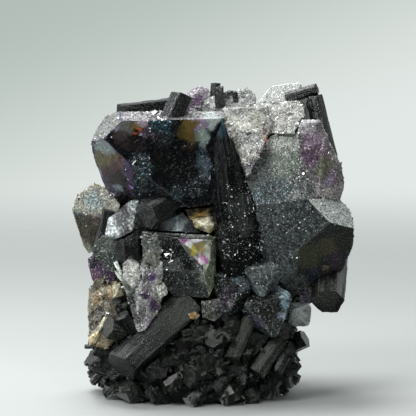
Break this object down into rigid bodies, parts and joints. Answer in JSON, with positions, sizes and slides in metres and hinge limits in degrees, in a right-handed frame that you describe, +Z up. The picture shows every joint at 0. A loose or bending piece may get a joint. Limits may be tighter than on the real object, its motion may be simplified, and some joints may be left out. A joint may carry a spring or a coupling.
{
  "type": "phantom fluorite with schorl",
  "caption": "Standing group of dark phantom fluorite crystals grown with black schorl prisms on feldspar rock, resting on a small flat spot.",
  "frame": {"origin": "middle of the bounding box at its base, where the group stands", "axes": "+Z up, -Y towards the side that shows the phantom crystal and the spear, +X to the right seen from there"},
  "size_m": [0.0418, 0.03, 0.047],
  "materials": {
    "phantom_fluorite": "glassy, dark, with purple and yellow colour zones under the faces",
    "frosted_fluorite": "frosted by fine etching, sparkling, grey-green",
    "purple_fluorite": "glassy to frosted, purple with grey and white zones",
    "schorl": "black, glossy, finely striated along the prisms",
    "feldspar": "rough and granular, off-white with tan stains"
  },
  "bodies": {
    "root": {"feldspar_core": "feldspar", "feldspar_left": "feldspar", "feldspar_top": "feldspar", "feldspar_top_rear": "feldspar", "fluorite_back_low": "purple_fluorite", "fluorite_back_middle": "frosted_fluorite", "fluorite_back_right": "frosted_fluorite", "fluorite_back_side": "purple_fluorite", "fluorite_back_upper": "phantom_fluorite", "fluorite_centre": "phantom_fluorite", "fluorite_clear": "frosted_fluorite", "fluorite_dark_purple": "purple_fluorite", "fluorite_left_green": "frosted_fluorite", "fluorite_left_pale": "frosted_fluorite", "fluorite_left_purple": "purple_fluorite", "fluorite_phantom": "phantom_fluorite", "fluorite_purple_edge": "purple_fluorite", "fluorite_pyramid": "frosted_fluorite", "fluorite_radiating": "phantom_fluorite", "fluorite_right_lower": "frosted_fluorite", "fluorite_right_upper": "frosted_fluorite", "fluorite_top_pale": "frosted_fluorite", "fluorite_top_rear": "purple_fluorite", "fluorite_triangle": "frosted_fluorite", "fluorite_white_purple": "purple_fluorite", "schorl_back_left": "schorl", "schorl_back_long": "schorl", "schorl_back_low": "schorl", "schorl_bar_long": "schorl", "schorl_bar_middle": "schorl", "schorl_bar_short": "schorl", "schorl_end_on": "schorl", "schorl_left_block": "schorl", "schorl_left_stub": "schorl", "schorl_left_thin": "schorl", "schorl_long": "schorl", "schorl_mat": "schorl", "schorl_right_block": "schorl", "schorl_silver": "schorl", "schorl_spear": "schorl", "schorl_stub": "schorl", "schorl_top_block": "schorl", "schorl_top_lying": "schorl", "schorl_top_rear": "schorl", "schorl_top_rod": "schorl", "schorl_top_upright": "schorl", "schorl_under_silver": "schorl"}
  },
  "joints": []
}
